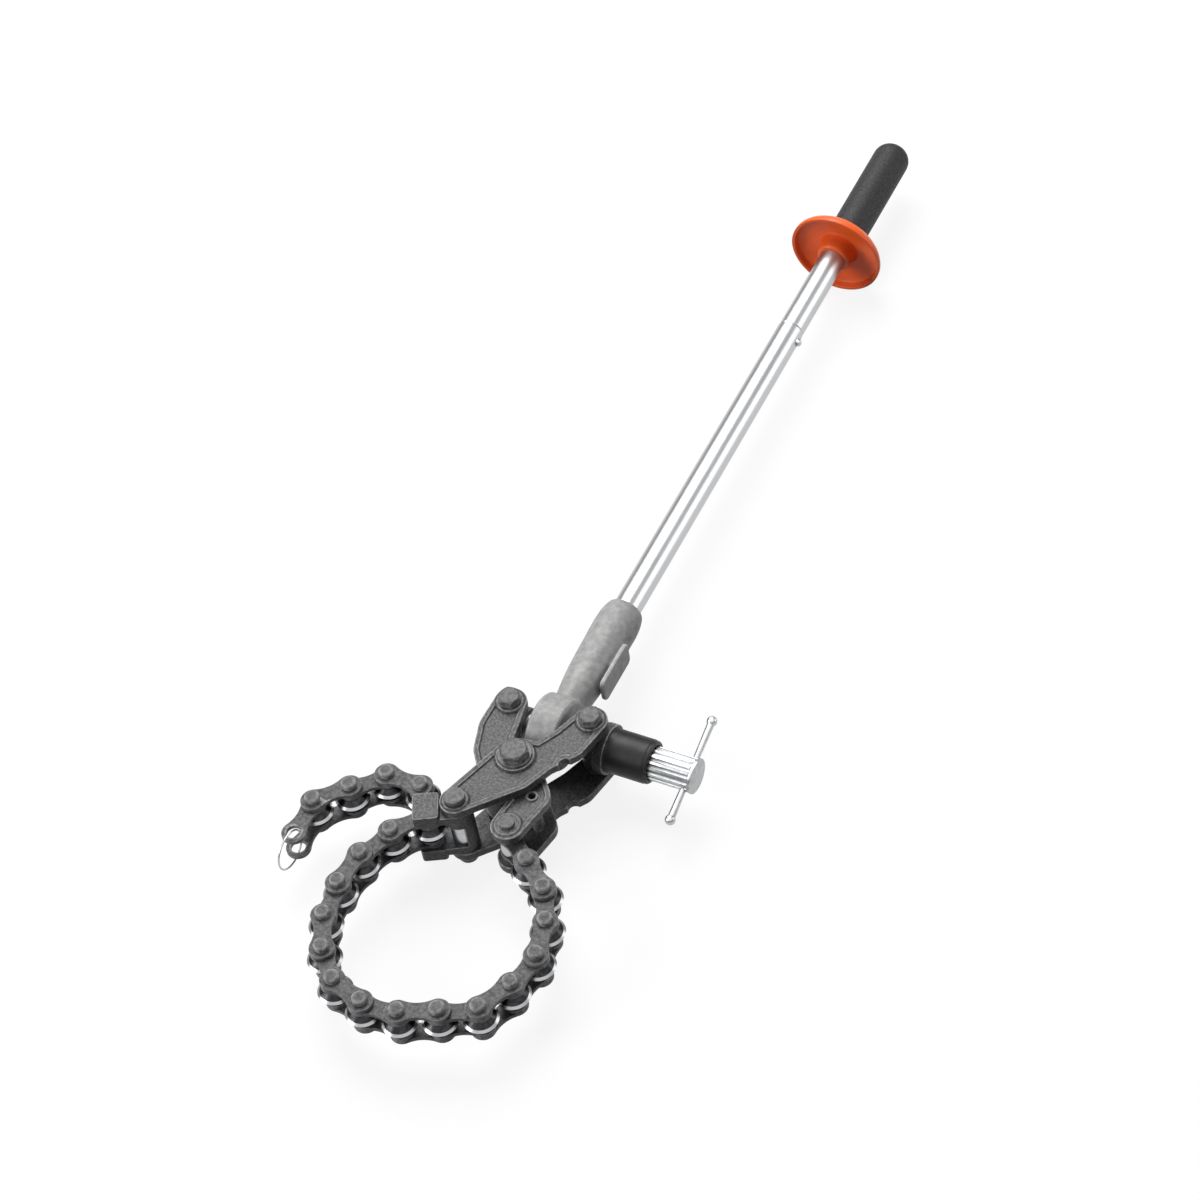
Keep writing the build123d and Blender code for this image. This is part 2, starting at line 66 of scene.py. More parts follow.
camera = placed("camera", bpy.data.cameras.new("camera"))
camera.data.lens = lens_mm
camera.data.sensor_width = sensor_mm
camera.data.clip_end = sees_to
facing = (camera_aim - camera_place).to_track_quat("-Z", "Y").to_matrix().to_4x4()
camera.matrix_world = Matrix.Translation(camera_place) @ facing @ Matrix.Rotation(camera_lean, 4, "Z")
bpy.context.scene.camera = camera
bpy.context.scene.view_settings.view_transform = "Standard"

# Studio: a white floor that keeps a faint shadow, a world that is white overhead and grey towards
# the horizon, and soft lamps, the largest behind the tool and high, so that level faces are lit and
# the sides towards the camera stay dark.
floor_half = 12.0
floor_seen = (0.93, 0.93, 0.93, 1)
floor_bounce = (0.10, 0.10, 0.10, 1)
backdrop_share = 0.86
room_light = 0.17
horizon_grey = 0.14
overhead_white = 2.0
grey_below = 0.20
white_above = 0.88
gap_grey = 0.30
gap_core_deg = 13.0
gap_soft_deg = 8.0


def mesh_of(form, name):
    """A mesh from a bmesh, which is used up."""
    mesh = bpy.data.meshes.new(name)
    form.to_mesh(mesh)
    form.free()
    return mesh


floor_form = bmesh.new()
bmesh.ops.create_grid(floor_form, x_segments=1, y_segments=1, size=floor_half)
floor = placed("floor", mesh_of(floor_form, "floor"))
floor_paint = bpy.data.materials.new("floor_paint")
floor_paint.use_nodes = True
ground = floor_paint.node_tree
ground.nodes.clear()
ground_out = ground.nodes.new("ShaderNodeOutputMaterial")
ground_pick = ground.nodes.new("ShaderNodeMixShader")
ground_shown = ground.nodes.new("ShaderNodeMixShader")
ground_bounce = ground.nodes.new("ShaderNodeBsdfDiffuse")
ground_shadow = ground.nodes.new("ShaderNodeBsdfDiffuse")
ground_white = ground.nodes.new("ShaderNodeEmission")
ground_path = ground.nodes.new("ShaderNodeLightPath")
ground_seen = ground.nodes.new("ShaderNodeMath")
ground_seen.operation = "MAXIMUM"
ground_any = ground.nodes.new("ShaderNodeMath")
ground_any.operation = "MAXIMUM"
ground_bounce.inputs["Color"].default_value = floor_bounce
ground_shadow.inputs["Color"].default_value = floor_seen
ground_shown.inputs[0].default_value = backdrop_share
ground.links.new(ground_path.outputs["Is Camera Ray"], ground_seen.inputs[0])
ground.links.new(ground_path.outputs["Is Glossy Ray"], ground_seen.inputs[1])
ground.links.new(ground_seen.outputs[0], ground_any.inputs[0])
ground.links.new(ground_path.outputs["Is Transmission Ray"], ground_any.inputs[1])
ground.links.new(ground_any.outputs[0], ground_pick.inputs[0])
ground.links.new(ground_shadow.outputs[0], ground_shown.inputs[1])
ground.links.new(ground_white.outputs[0], ground_shown.inputs[2])
ground.links.new(ground_bounce.outputs[0], ground_pick.inputs[1])
ground.links.new(ground_shown.outputs[0], ground_pick.inputs[2])
ground.links.new(ground_pick.outputs[0], ground_out.inputs["Surface"])
floor.data.materials.append(floor_paint)

world = bpy.data.worlds.new("studio")
bpy.context.scene.world = world
world.use_nodes = True
air = world.node_tree
air.nodes.clear()
air_out = air.nodes.new("ShaderNodeOutputWorld")
air_mix = air.nodes.new("ShaderNodeMixShader")
air_pick = air.nodes.new("ShaderNodeMixShader")
air_lit = air.nodes.new("ShaderNodeBackground")
air_seen = air.nodes.new("ShaderNodeBackground")
air_glossy = air.nodes.new("ShaderNodeBackground")
air_path = air.nodes.new("ShaderNodeLightPath")
air_shiny = air.nodes.new("ShaderNodeMath")
air_shiny.operation = "MAXIMUM"
air_way = air.nodes.new("ShaderNodeTexCoord")
air_split = air.nodes.new("ShaderNodeSeparateXYZ")
air_height = air.nodes.new("ShaderNodeMapRange")
air_height.inputs["From Min"].default_value = grey_below
air_height.inputs["From Max"].default_value = white_above
air_height.inputs["To Min"].default_value = horizon_grey
air_height.inputs["To Max"].default_value = overhead_white
air.links.new(air_way.outputs["Generated"], air_split.inputs[0])
air.links.new(air_split.outputs["Z"], air_height.inputs["Value"])


def dimmed_patch(sky, toward, core_deg, soft_deg, level):
    """The sky's brightness with a round patch of it, about a direction, dimmed to a share."""
    nearness = air.nodes.new("ShaderNodeVectorMath")
    nearness.operation = "DOT_PRODUCT"
    nearness.inputs[1].default_value = toward
    fade = air.nodes.new("ShaderNodeMapRange")
    fade.inputs["From Min"].default_value = math.cos(math.radians(core_deg + soft_deg))
    fade.inputs["From Max"].default_value = math.cos(math.radians(core_deg))
    fade.inputs["To Min"].default_value = 1.0
    fade.inputs["To Max"].default_value = level
    both = air.nodes.new("ShaderNodeMath")
    both.operation = "MULTIPLY"
    air.links.new(air_way.outputs["Generated"], nearness.inputs[0])
    air.links.new(nearness.outputs["Value"], fade.inputs["Value"])
    air.links.new(sky, both.inputs[0])
    air.links.new(fade.outputs["Result"], both.inputs[1])
    return both.outputs[0]


# A gap between the softboxes stands where the middle of the handle's tube mirrors it.
camera_way = (camera_place - camera_aim).normalized()
tube_mirror_way = Vector((camera_way.x, -camera_way.y, camera_way.z))
sky_level = dimmed_patch(
    air_height.outputs["Result"], tube_mirror_way, gap_core_deg, gap_soft_deg, gap_grey
)
air.links.new(sky_level, air_glossy.inputs["Strength"])
air.links.new(air_path.outputs["Is Glossy Ray"], air_shiny.inputs[0])
air.links.new(air_path.outputs["Is Transmission Ray"], air_shiny.inputs[1])
air.links.new(air_shiny.outputs[0], air_pick.inputs[0])
air.links.new(air_lit.outputs[0], air_pick.inputs[1])
air.links.new(air_glossy.outputs[0], air_pick.inputs[2])
air.links.new(air_path.outputs["Is Camera Ray"], air_mix.inputs[0])
air.links.new(air_pick.outputs[0], air_mix.inputs[1])
air.links.new(air_seen.outputs[0], air_mix.inputs[2])
air.links.new(air_mix.outputs[0], air_out.inputs["Surface"])
for shade in (air_lit, air_glossy, air_seen):
    shade.inputs["Color"].default_value = (1, 1, 1, 1)
air_lit.inputs["Strength"].default_value = room_light


def soft_lamp(name, place, aim, size, watts):
    """A square softbox at a place, turned towards a point."""
    lamp = placed(name, bpy.data.lights.new(name, "AREA"))
    lamp.data.shape = "SQUARE"
    lamp.data.size = size
    lamp.data.energy = watts
    facing = (Vector(aim) - Vector(place)).to_track_quat("-Z", "Y").to_matrix().to_4x4()
    lamp.matrix_world = Matrix.Translation(place) @ facing


soft_lamp("rear_lamp", (-1.0, 1.6, 2.7), (0.0, 0.15, 0.0), 2.2, 118.0)
soft_lamp("side_lamp", (2.39, 1.9, 0.77), (0.0, 0.3, 0.05), 1.5, 20.0)
soft_lamp("front_lamp", (-2.1, -1.9, 1.5), (0.0, 0.3, 0.05), 1.6, 62.0)

# Crossed jaws: four forged steel cheeks, blackened and oiled. Each edge is eased by the forging
# die, and the panel inside the rim keeps a scaly skin.
place = {joint["name"]: Vector(joint["pos_m"]) for joint in frame["joints"] if "pos_m" in joint}
jaw_voxel = 0.00055
jaw_passes = 4
black_deep = (0.022, 0.022, 0.023, 1)
black_dusty = (0.105, 0.105, 0.108, 1)
worn_steel = (0.42, 0.42, 0.43, 1)
# Near black painted into the hollows and creases as shade.
painted_crease_shade = (0.003, 0.003, 0.003, 1)
pit_share = 0.33
wear_scale = 260.0
wear_missed_below = 0.38
wear_whole_above = 0.56
wear_least = 0.35
# Pointiness at which the painted shade in hollows and creases begins and is full.
crease_shade_from = 0.490
crease_shade_full = 0.440


def skin_group():
    """Surface skin: a slow mottle and a fine height of grain and larger pits."""
    group = bpy.data.node_groups.new("surface_skin", "ShaderNodeTree")
    for socket in ("Mottle Scale", "Grain Scale"):
        group.interface.new_socket(socket, in_out="INPUT", socket_type="NodeSocketFloat")
    for socket in ("Mottle", "Height"):
        group.interface.new_socket(socket, in_out="OUTPUT", socket_type="NodeSocketFloat")
    nodes, links = group.nodes, group.links
    take, give = nodes.new("NodeGroupInput"), nodes.new("NodeGroupOutput")
    where = nodes.new("ShaderNodeTexCoord")
    mottle, grain, pits = (nodes.new("ShaderNodeTexNoise") for _ in range(3))
    mottle.inputs["Detail"].default_value = 4.0
    grain.inputs["Detail"].default_value = 6.0
    grain.inputs["Roughness"].default_value = 0.65
    pits.inputs["Detail"].default_value = 2.0
    third = nodes.new("ShaderNodeMath")
    third.operation = "MULTIPLY"
    third.inputs[1].default_value = pit_share
    blend = nodes.new("ShaderNodeMath")
    blend.operation = "ADD"
    links.new(take.outputs["Mottle Scale"], mottle.inputs["Scale"])
    links.new(take.outputs["Grain Scale"], grain.inputs["Scale"])
    links.new(take.outputs["Grain Scale"], third.inputs[0])
    links.new(third.outputs[0], pits.inputs["Scale"])
    for noise in (mottle, grain, pits):
        links.new(where.outputs["Object"], noise.inputs["Vector"])
    links.new(grain.outputs[0], blend.inputs[0])
    links.new(pits.outputs[0], blend.inputs[1])
    links.new(mottle.outputs[0], give.inputs["Mottle"])
    links.new(blend.outputs[0], give.inputs["Height"])
    return group


def wear_and_shade_group():
    """Where handling has rubbed the corners, broken up by noise, and painted shade that darkens the hollows
    and creases.
    """
    group = bpy.data.node_groups.new("rubbed_corners_and_painted_shade", "ShaderNodeTree")
    for socket in ("From", "To"):
        group.interface.new_socket(socket, in_out="INPUT", socket_type="NodeSocketFloat")
    for socket in ("Rubbed", "Painted Shade"):
        group.interface.new_socket(socket, in_out="OUTPUT", socket_type="NodeSocketFloat")
    nodes, links = group.nodes, group.links
    take, give = nodes.new("NodeGroupInput"), nodes.new("NodeGroupOutput")
    shape = nodes.new("ShaderNodeNewGeometry")
    where = nodes.new("ShaderNodeTexCoord")
    noise = nodes.new("ShaderNodeTexNoise")
    noise.inputs["Scale"].default_value = wear_scale
    noise.inputs["Detail"].default_value = 5.0
    ridge, gaps, crease_shade_mask = (nodes.new("ShaderNodeMapRange") for _ in range(3))
    gaps.inputs["From Min"].default_value = wear_missed_below
    gaps.inputs["From Max"].default_value = wear_whole_above
    gaps.inputs["To Min"].default_value = wear_least
    # Painted shade: the lower the pointiness, the deeper the hollow or crease and the more shade is painted
    # there.
    crease_shade_mask.inputs["From Min"].default_value = crease_shade_from
    crease_shade_mask.inputs["From Max"].default_value = crease_shade_full
    broken = nodes.new("ShaderNodeMath")
    broken.operation = "MULTIPLY"
    links.new(where.outputs["Object"], noise.inputs["Vector"])
    links.new(noise.outputs[0], gaps.inputs["Value"])
    links.new(shape.outputs["Pointiness"], ridge.inputs["Value"])
    links.new(shape.outputs["Pointiness"], crease_shade_mask.inputs["Value"])
    links.new(take.outputs["From"], ridge.inputs["From Min"])
    links.new(take.outputs["To"], ridge.inputs["From Max"])
    links.new(ridge.outputs["Result"], broken.inputs[0])
    links.new(gaps.outputs["Result"], broken.inputs[1])
    links.new(broken.outputs[0], give.inputs["Rubbed"])
    links.new(crease_shade_mask.outputs["Result"], give.inputs["Painted Shade"])
    return group


skin = skin_group()
# The group gives both the rubbed corners and the painted shade of the hollows and creases.
wear = wear_and_shade_group()


def finish_of(
    name, low, high, rough, metal, mottle_scale, grain_scale, grain_depth, rubbed=None, shine=0.5
):
    """A material whose colour and roughness drift between two values over a grained skin; with rubbed, also
    rubbed corners and painted shade in the hollows and creases.
    """
    material = bpy.data.materials.new(name)
    material.use_nodes = True
    nodes, links = material.node_tree.nodes, material.node_tree.links
    shader = nodes["Principled BSDF"]
    shader.inputs["Metallic"].default_value = metal
    shader.inputs["Specular IOR Level"].default_value = shine
    grained = nodes.new("ShaderNodeGroup")
    grained.node_tree = skin
    grained.inputs["Mottle Scale"].default_value = mottle_scale
    grained.inputs["Grain Scale"].default_value = grain_scale
    shade = nodes.new("ShaderNodeMapRange")
    shade.inputs["From Min"].default_value = 0.3
    shade.inputs["From Max"].default_value = 0.7
    links.new(grained.outputs["Mottle"], shade.inputs["Value"])
    colour = nodes.new("ShaderNodeMix")
    colour.data_type = "RGBA"
    colour.inputs["A"].default_value = low
    colour.inputs["B"].default_value = high
    links.new(shade.outputs["Result"], colour.inputs["Factor"])
    gloss = nodes.new("ShaderNodeMapRange")
    gloss.inputs["To Min"].default_value = rough[0]
    gloss.inputs["To Max"].default_value = rough[1]
    links.new(shade.outputs["Result"], gloss.inputs["Value"])
    links.new(gloss.outputs["Result"], shader.inputs["Roughness"])
    bump = nodes.new("ShaderNodeBump")
    bump.inputs["Strength"].default_value = 1.0
    bump.inputs["Distance"].default_value = grain_depth
    links.new(grained.outputs["Height"], bump.inputs["Height"])
    links.new(bump.outputs["Normal"], shader.inputs["Normal"])
    if rubbed:
        bare, start, full = rubbed
        corners = nodes.new("ShaderNodeGroup")
        corners.node_tree = wear
        corners.inputs["From"].default_value = start
        corners.inputs["To"].default_value = full
        worn = nodes.new("ShaderNodeMix")
        worn.data_type = "RGBA"
        worn.inputs["B"].default_value = bare
        links.new(corners.outputs["Rubbed"], worn.inputs["Factor"])
        links.new(colour.outputs["Result"], worn.inputs["A"])
        # Painted shade: hollows and creases darkened to near black, standing in for the shade that falls
        # there.
        crease_shaded = nodes.new("ShaderNodeMix")
        crease_shaded.data_type = "RGBA"
        crease_shaded.inputs["B"].default_value = painted_crease_shade
        links.new(corners.outputs["Painted Shade"], crease_shaded.inputs["Factor"])
        links.new(worn.outputs["Result"], crease_shaded.inputs["A"])
        colour = crease_shaded
    links.new(colour.outputs["Result"], shader.inputs["Base Color"])
    return material


def add_piece(name, form, body, material, slot, *nodes, crease=16.0):
    """Makes the bmesh a piece that rides on a body and stands for CAD nodes."""
    bmesh.ops.remove_doubles(form, verts=form.verts, dist=1e-6)
    bmesh.ops.recalc_face_normals(form, faces=form.faces)
    mesh = mesh_of(form, name)
    mesh.shade_smooth()
    mesh.set_sharp_from_angle(angle=math.radians(crease))
    mesh.materials.append(material)
    piece = placed(name, mesh)
    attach(piece, body)
    if nodes:
        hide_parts(*nodes)
    return piece


def shaped_by(mesh, name, set_up):
    """The mesh after the modifier that set_up adds."""
    holder = placed(name, mesh)
    set_up(holder)
    graph = bpy.context.evaluated_depsgraph_get()
    made = bpy.data.meshes.new_from_object(holder.evaluated_get(graph))
    bpy.data.objects.remove(holder)
    return made


def eased_copy(node, voxel, passes):
    """A CAD node's shape in an even fine mesh, its corners eased as a die or a mould leaves them."""
    form = bmesh.new()
    form.from_mesh(frame["nodes"][node].data)
    bmesh.ops.remove_doubles(form, verts=form.verts, dist=1e-6)
    merged = mesh_of(form, node + "_merged")

    def remesh(holder):
        even = holder.modifiers.new("even", "REMESH")
        even.mode = "VOXEL"
        even.voxel_size = voxel

    even_mesh = shaped_by(merged, node + "_even", remesh)
    form = bmesh.new()
    form.from_mesh(even_mesh)
    for _ in range(passes):
        bmesh.ops.smooth_vert(
            form, verts=form.verts, factor=0.5, use_axis_x=True, use_axis_y=True, use_axis_z=True
        )
    return form


forged_black = finish_of(
    "forged_black", black_deep, black_dusty, (0.50, 0.34), 0.0, 470.0, 560.0, 0.00026,
    rubbed=(worn_steel, 0.508, 0.535), shine=0.24,
)
cheek_bodies = {
    "jaw_b_upper": "frame", "jaw_b_lower": "frame", "jaw_a_upper": "jaw_a", "jaw_a_lower": "jaw_a",
}
for node, body in cheek_bodies.items():
    cheek = eased_copy(node, jaw_voxel, jaw_passes)
    add_piece(node + "_forging", cheek, body, forged_black, "black_steel", node, crease=60.0)

# Pivot: a hexagon bolt through all four cheeks, with a nut, a washer under each and a barrel that
# holds the cheeks apart. Blackened steel.
pivot_flats = 0.022
pivot_turn = 12.0
pivot_r = 0.008
pivot_point = 0.0008
washer_t = 0.0018
crown_slope = math.tan(math.radians(30.0))
crown_share = 0.93
hexagon_ease = 0.00025
rim_margin = 0.0007
round_steps = 64


def turned(form, profile, steps):
    """Adds a round solid about Z to the bmesh. The profile is (radius, height) along its outline."""
    made = [form.verts.new((r, 0, h)) for r, h in profile]
    rims = [form.edges.new(pair) for pair in zip(made, made[1:])]
    bmesh.ops.spin(
        form, geom=made + rims, cent=(0, 0, 0), axis=(0, 0, 1),
        angle=2 * math.pi, steps=steps, use_merge=True,
    )
    bmesh.ops.remove_doubles(form, verts=form.verts, dist=1e-7)


def rounded(form, width, segments=2, from_deg=30.0):
    """Bevels every edge of the bmesh that turns by more than from_deg."""
    bmesh.ops.recalc_face_normals(form, faces=form.faces)
    sharp = [e for e in form.edges if e.is_manifold and e.calc_face_angle(0.0) > math.radians(from_deg)]
    bmesh.ops.bevel(
        form, geom=sharp, offset=width, offset_type="OFFSET", segments=segments, profile=0.5,
        affect="EDGES", clamp_overlap=True, material=-1,
    )


def level_margins(form, width):
    """Insets each large level face, so that the wear of its rim stays at the rim."""
    form.normal_update()
    level = [f for f in form.faces if abs(f.normal.z) > 0.99 and f.calc_area() > 4e-5]
    bmesh.ops.inset_individual(form, faces=level, thickness=width, depth=0.0, use_even_offset=True)


def standing(at, along=(0, 0, 1)):
    """Matrix that stands a piece made about Z at a place, along a direction."""
    return Matrix.Translation(at) @ Vector(along).to_track_quat("Z", "Y").to_matrix().to_4x4()


def joined(form, other):
    """Adds another bmesh to this one."""
    passing = mesh_of(other, "passing")
    form.from_mesh(passing)
    bpy.data.meshes.remove(passing)


def boolean_of(form, other, operation):
    """The bmesh after a boolean with another one. Both are used up, and a new bmesh comes back."""
    tool = placed("boolean_tool", mesh_of(other, "boolean_tool"))

    def set_up(holder):
        step = holder.modifiers.new("step", "BOOLEAN")
        step.operation = operation
        step.solver = "EXACT"
        step.object = tool

    made = shaped_by(mesh_of(form, "boolean_base"), "boolean_base", set_up)
    bpy.data.objects.remove(tool)
    form = bmesh.new()
    form.from_mesh(made)
    return form


def hexagon_head(flats, height, turn_deg):
    """A hexagon about Z from its seat up, its corners cut back by a cone as on a real bolt."""
    corner = flats / 2 / math.cos(math.pi / 6)
    form = bmesh.new()
    bmesh.ops.create_cone(
        form, cap_ends=True, segments=6, radius1=corner, radius2=corner, depth=height,
        matrix=Matrix.Translation((0, 0, height / 2)) @ Matrix.Rotation(math.radians(turn_deg + 30), 4, "Z"),
    )
    cone = bmesh.new()
    past = 0.001
    lip = flats / 2 * crown_share
    fall = (corner + past - lip) * crown_slope
    turned(cone, [
        (0, -past), (corner + past, -past), (corner + past, height - fall), (lip, height), (0, height),
    ], 48)
    bmesh.ops.recalc_face_normals(cone, faces=cone.faces)
    form = boolean_of(form, cone, "INTERSECT")
    rounded(form, hexagon_ease, 2, 25.0)
    level_margins(form, rim_margin)
    return form


def moved(form, matrix):
    """The bmesh after a move, so that a piece is made in place."""
    bmesh.ops.transform(form, matrix=matrix, verts=form.verts)
    return form


oxide_black = finish_of(
    "oxide_black", (0.030, 0.030, 0.031, 1), (0.095, 0.095, 0.098, 1), (0.44, 0.32), 0.0,
    300.0, 1500.0, 0.00006, rubbed=(worn_steel, 0.52, 0.58), shine=0.26,
)
pivot_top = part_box("pivot_bolt")[1].z
nut_low, nut_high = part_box("pivot_nut")
head_h = nut_high.z - nut_low.z
middle = place["jaw_a_swing"].z
seat = pivot_top - head_h
bolt = hexagon_head(pivot_flats, head_h, pivot_turn)
moved(bolt, Matrix.Translation((0, 0, seat)))
shank = bmesh.new()
turned(shank, [(0, 0), (pivot_r - pivot_point, 0), (pivot_r, pivot_point), (pivot_r, seat), (0, seat)], 48)
joined(bolt, shank)
add_piece("pivot_bolt_head", bolt, "frame", oxide_black, "black_steel", "pivot_bolt")

nut = hexagon_head(pivot_flats, head_h, 0.0)
moved(nut, Matrix.Translation((0, 0, head_h)) @ Matrix.Rotation(math.pi, 4, "X"))
add_piece("pivot_nut_hexagon", nut, "frame", oxide_black, "black_steel", "pivot_nut")


def ring_of(inner, outer, low, high, ease=0.0004, steps=round_steps):
    """A plain washer or tube about Z with eased rims."""
    form = bmesh.new()
    turned(form, [(inner, low), (outer, low), (outer, high), (inner, high), (inner, low)], steps)
    rounded(form, ease, 2, 40.0)
    return form


washer_low, washer_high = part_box("pivot_washers")
washer_r = washer_high.x
washers = ring_of(pivot_r, washer_r, washer_low.z, washer_low.z + washer_t)
joined(washers, ring_of(pivot_r, washer_r, washer_high.z - washer_t, washer_high.z))
add_piece("pivot_washer_pair", washers, "frame", oxide_black, "black_steel", "pivot_washers")

# Tip bolts: two hexagon bolts in each pair of jaw tips, on which the nut block and the bearing
# block turn. Blackened steel.
tip_flats = 0.017
tip_head_h = 0.007
tip_shank_r = 0.006
tip_shank_l = 0.015
shank_lap = 0.001


def tip_bolt_pair(name, body, node, at, turn_deg):
    """The upper and the lower bolt of one pair of jaw tips, as one piece."""
    low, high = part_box(node)
    pair = bmesh.new()
    for side in (1, -1):
        one = hexagon_head(tip_flats, tip_head_h, turn_deg * side)
        shank = bmesh.new()
        turned(shank, [
            (0, -tip_shank_l), (tip_shank_r, -tip_shank_l), (tip_shank_r, shank_lap), (0, shank_lap),
        ], 32)
        joined(one, shank)
        if side == 1:
            spot = Matrix.Translation((at.x, at.y, high.z - tip_head_h))
        else:
            spot = Matrix.Translation((at.x, at.y, low.z + tip_head_h)) @ Matrix.Rotation(math.pi, 4, "X")
        joined(pair, moved(one, spot))
    add_piece(name, pair, body, oxide_black, "black_steel", node)


tip_bolt_pair("bearing_bolt_pair", "frame", "bearing_bolts", place["bearing_turn"], 20.0)
tip_bolt_pair("nut_bolt_pair", "jaw_a", "nut_bolts", place["nut_turn"], 5.0)

# Pins, bushes and spacer of the lower ends: turned pins with chamfered ends, a zinc plated bush
# on the hook's pin, and the hollow tube that ties the inner cheeks.
pin_r = 0.0062
stop_bore_r = 0.0032
under_head_t = 0.0078
top_head_t = 0.0055
zinc_low = (0.42, 0.43, 0.44, 1)
zinc_high = (0.54, 0.55, 0.56, 1)
bright_zinc = finish_of("bright_zinc", zinc_low, zinc_high, (0.24, 0.38), 1.0, 90.0, 1400.0, 0.00003)


def round_pin(node, name, body, material, slot, radius, ease):
    """A turned pin in place of a node. Points inside its rims keep the wear at the rims."""
    low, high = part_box(node)
    form = bmesh.new()
    rim = radius * 0.75
    turned(form, [
        (0, low.z), (rim, low.z), (radius, low.z), (radius, high.z), (rim, high.z), (0, high.z),
    ], 40)
    rounded(form, ease, 3, 40.0)
    moved(form, Matrix.Translation(((low.x + high.x) / 2, (low.y + high.y) / 2, 0)))
    add_piece(name, form, body, material, slot, node)


def round_sleeve(node, name, body, material, slot, inner, ease):
    """A turned bush or tube in place of a node."""
    low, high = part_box(node)
    form = ring_of(inner, (high.x - low.x) / 2, low.z, high.z, ease, 48)
    moved(form, Matrix.Translation(((low.x + high.x) / 2, (low.y + high.y) / 2, 0)))
    add_piece(name, form, body, material, slot, node)


round_pin("anchor_pin", "anchor_pin_turned", "jaw_a", oxide_black, "black_steel", pin_r, 0.0010)
round_sleeve("anchor_bush", "anchor_bush_turned", "jaw_a", bright_zinc, "bright_steel", pin_r, 0.0005)
round_sleeve("hook_bush", "hook_bush_turned", "frame", bright_zinc, "bright_steel", pin_r, 0.0006)
round_sleeve("stop_tube", "stop_tube_turned", "jaw_a", oxide_black, "black_steel", stop_bore_r, 0.0004)
round_sleeve("pivot_barrel", "pivot_barrel_turned", "frame", bright_zinc, "bright_steel", pivot_r, 0.0005)

hook_low, hook_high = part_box("hook_pin")
hook_head_r = (hook_high.x - hook_low.x) / 2
hook_pin = bmesh.new()
turned(hook_pin, [
    (0, hook_low.z), (pin_r, hook_low.z), (hook_head_r, hook_low.z),
    (hook_head_r, hook_low.z + under_head_t), (pin_r, hook_low.z + under_head_t),
    (pin_r, hook_high.z - top_head_t), (hook_head_r, hook_high.z - top_head_t),
    (hook_head_r, hook_high.z), (pin_r, hook_high.z), (0, hook_high.z),
], 48)
rounded(hook_pin, 0.0011, 3, 40.0)
moved(hook_pin, Matrix.Translation((place["hook_swing"].x, place["hook_swing"].y, 0)))
add_piece("hook_pin_turned", hook_pin, "frame", oxide_black, "black_steel", "hook_pin")

# Hook yoke: a steel block cut to two claws that take the ends of a chain pin. Blackened, with
# edges only broken.
yoke_voxel = 0.00045
yoke = eased_copy("hook_yoke", yoke_voxel, 2)
add_piece("hook_yoke_block", yoke, "yoke", forged_black, "black_steel", "hook_yoke", crease=50.0)

# Nut block and bearing block: steel blocks that hang between the jaw tips on the tip bolts, one
# tapped for the screw, the other bored for it and flanged for the thrust housing.
nut_block = eased_copy("nut_block", yoke_voxel, 2)
add_piece("nut_block_turned", nut_block, "nut", forged_black, "black_steel", "nut_block", crease=50.0)
bearing_block = eased_copy("bearing_block", yoke_voxel, 2)
add_piece(
    "bearing_block_turned", bearing_block, "bearing", forged_black, "black_steel", "bearing_block",
    crease=50.0,
)

# Thrust housing: a black painted steel sleeve on the bearing's flange, with a turned lip at its
# open end.
screw_line = place["screw_turn"]
along_screw = standing((0, screw_line.y, screw_line.z), (1, 0, 0))
housing_low, housing_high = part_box("thrust_housing")
housing_r = (housing_high.z - housing_low.z) / 2
housing_wall = 0.0036
housing_bore_r = housing_r - housing_wall
lip_back = 0.0042
lip_from = housing_high.x - lip_back
lip_r = housing_r - 0.0005
mouth_r = housing_r - 0.0018
sleeve_paint = finish_of(
    "sleeve_paint", (0.008, 0.008, 0.009, 1), (0.018, 0.018, 0.019, 1), (0.48, 0.38), 0.0,
    90.0, 1300.0, 0.00005, rubbed=(worn_steel, 0.52, 0.58), shine=0.22,
)
housing = bmesh.new()
turned(housing, [
    (housing_bore_r, housing_low.x), (housing_r, housing_low.x), (housing_r, housing_low.x + lip_back / 3),
    (housing_r, housing_high.x - lip_back * 1.3), (housing_r, lip_from), (lip_r, lip_from + 0.0006),
    (lip_r, housing_high.x - 0.0014), (mouth_r, housing_high.x), (housing_bore_r, housing_high.x),
    (housing_bore_r, housing_low.x),
], round_steps)
rounded(housing, 0.0003, 2, 30.0)
moved(housing, along_screw)
add_piece("thrust_sleeve", housing, "bearing", sleeve_paint, "black_steel", "thrust_housing")

# Feed screw: bright steel with a trapezoidal thread from its free end to the bearing, and a plain
# shank with the thrust collar beyond.
screw_low, screw_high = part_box("feed_screw")
collar_r = (screw_high.z - screw_low.z) / 2
thread_r = 0.0095
thread_root = 0.0080
thread_pitch = 0.003
thread_end = 0.030
shank_r = thread_r - 0.0003
shank_from = thread_end - shank_lap
collar_from = housing_low.x + 0.0003
collar_t = 0.006
screw_steel = finish_of(
    "screw_steel", (0.42, 0.43, 0.44, 1), (0.62, 0.63, 0.65, 1), (0.28, 0.42), 1.0, 140.0, 1500.0, 0.00003
)
screw = bmesh.new()
tooth = [(thread_root, 0.0), (thread_root, 0.26), (thread_r, 0.40), (thread_r, 0.86), (thread_root, 1.0)]
tooth_verts = [screw.verts.new((r, 0, part * thread_pitch)) for r, part in tooth]
tooth_edges = [screw.edges.new(pair) for pair in zip(tooth_verts, tooth_verts[1:])]
turns = math.ceil((thread_end - screw_low.x) / thread_pitch)
turn_steps = 36
